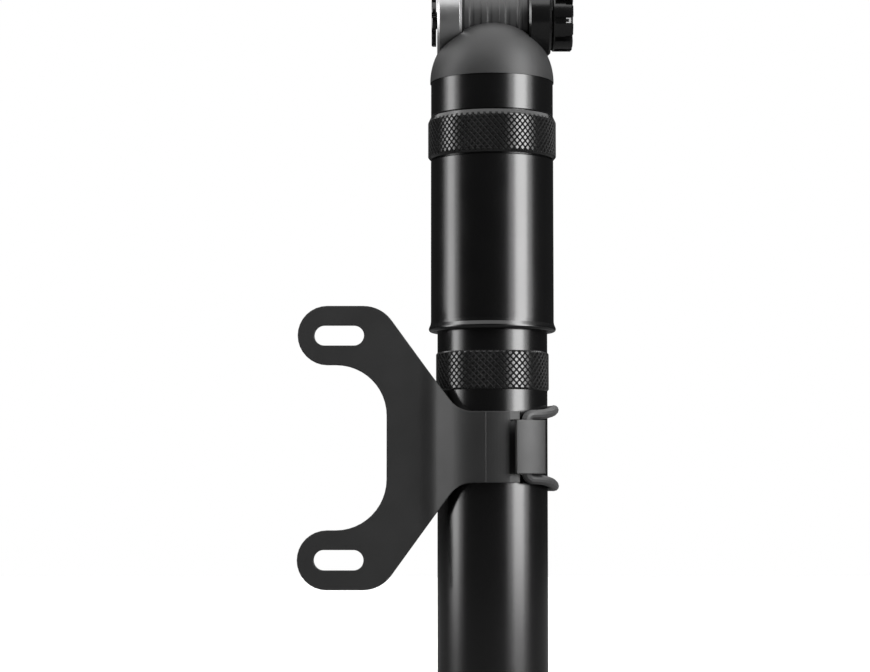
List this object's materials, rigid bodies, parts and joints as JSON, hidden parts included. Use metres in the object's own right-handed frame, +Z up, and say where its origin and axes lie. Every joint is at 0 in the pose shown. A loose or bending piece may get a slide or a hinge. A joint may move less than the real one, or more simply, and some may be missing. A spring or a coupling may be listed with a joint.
{
  "type": "mini bicycle pump",
  "caption": "Hand-held bicycle pump with a sliding handle, lever head, turning lock ring and a clip-on frame bracket with a rubber strap.",
  "frame": {"origin": "centre of the end cap's flat foot, on the pump axis", "axes": "+Z up the pump axis to the head, -Y the front, +X the valve side; the bracket plate reaches to -X"},
  "size_m": [0.0792, 0.0409, 0.2038],
  "materials": {
    "gloss_black": "gloss black anodised tube",
    "knurled_black": "black anodised, knurled",
    "dome_grey": "matte dark grey",
    "ribbed_grey": "satin dark grey",
    "silver": "blasted aluminium",
    "bare_aluminium": "plain drawn aluminium",
    "steel": "plain steel",
    "black_plastic": "moulded nylon",
    "bracket_black": "satin moulded nylon",
    "natural_plastic": "natural acetal",
    "rubber": "black rubber"
  },
  "bodies": {
    "handle": {"handle_tube": "gloss_black", "grip_ring": "knurled_black", "mouth_bush": "black_plastic", "end_cap": "black_plastic", "end_cap_o_ring": "rubber", "piston_rod": "steel", "piston": "natural_plastic", "piston_seal": "rubber", "piston_nut": "steel"},
    "head": {"air_cylinder": "bare_aluminium", "cylinder_gland": "black_plastic", "cylinder_plug": "black_plastic", "plug_o_ring": "rubber", "outer_sleeve": "gloss_black", "collar": "gloss_black", "dome_shell": "dome_grey", "chuck_body": "ribbed_grey", "head_end_ring": "gloss_black", "valve_grommet": "rubber", "check_spring": "steel"},
    "lock_ring": {"lock_ring": "knurled_black"},
    "lever": {"cam_lever": "silver"},
    "plunger": {"plunger": "bare_aluminium"},
    "knob": {"side_knob": "gloss_black"},
    "valve_cap": {"valve_cap": "knurled_black"},
    "check_valve": {"check_poppet": "natural_plastic"},
    "bracket": {"frame_bracket": "bracket_black", "retaining_strap": "rubber"}
  },
  "joints": [
    {"name": "pump_stroke", "type": "slide", "parent": "handle", "child": "head", "axis": [0, 0, 1], "range_m": [0, 0.105]},
    {"name": "lock_ring_turn", "type": "hinge", "parent": "head", "child": "lock_ring", "pos_m": [0, 0, 0.1585], "axis": [0, 0, 1], "range_deg": [0, 60]},
    {"name": "lever_swing", "type": "hinge", "parent": "head", "child": "lever", "pos_m": [-0.0124, 0, 0.1936], "axis": [1, 0, 0], "range_deg": [0, 90]},
    {"name": "plunger_push", "type": "slide", "parent": "head", "child": "plunger", "axis": [1, 0, 0], "range_m": [0, 0.0021]},
    {"name": "knob_turn", "type": "hinge", "parent": "lever", "child": "knob", "pos_m": [-0.017, 0, 0.1936], "axis": [1, 0, 0], "continuous": true},
    {"name": "valve_cap_turn", "type": "hinge", "parent": "head", "child": "valve_cap", "pos_m": [0.02, 0, 0.1936], "axis": [1, 0, 0], "continuous": true},
    {"name": "check_lift", "type": "slide", "parent": "head", "child": "check_valve", "axis": [0, 0, 1], "range_m": [0, 0.0015], "stiffness_N_per_m": 20, "deforming": ["check_spring"]},
    {"name": "bracket_turn", "type": "hinge", "parent": "handle", "child": "bracket", "pos_m": [0, 0, 0.0687], "axis": [0, 0, 1], "continuous": true}
  ],
  "couplings": [
    {"joint": "plunger_push", "follows": "lever_swing", "m_per_rad": 0.0012732}
  ]
}
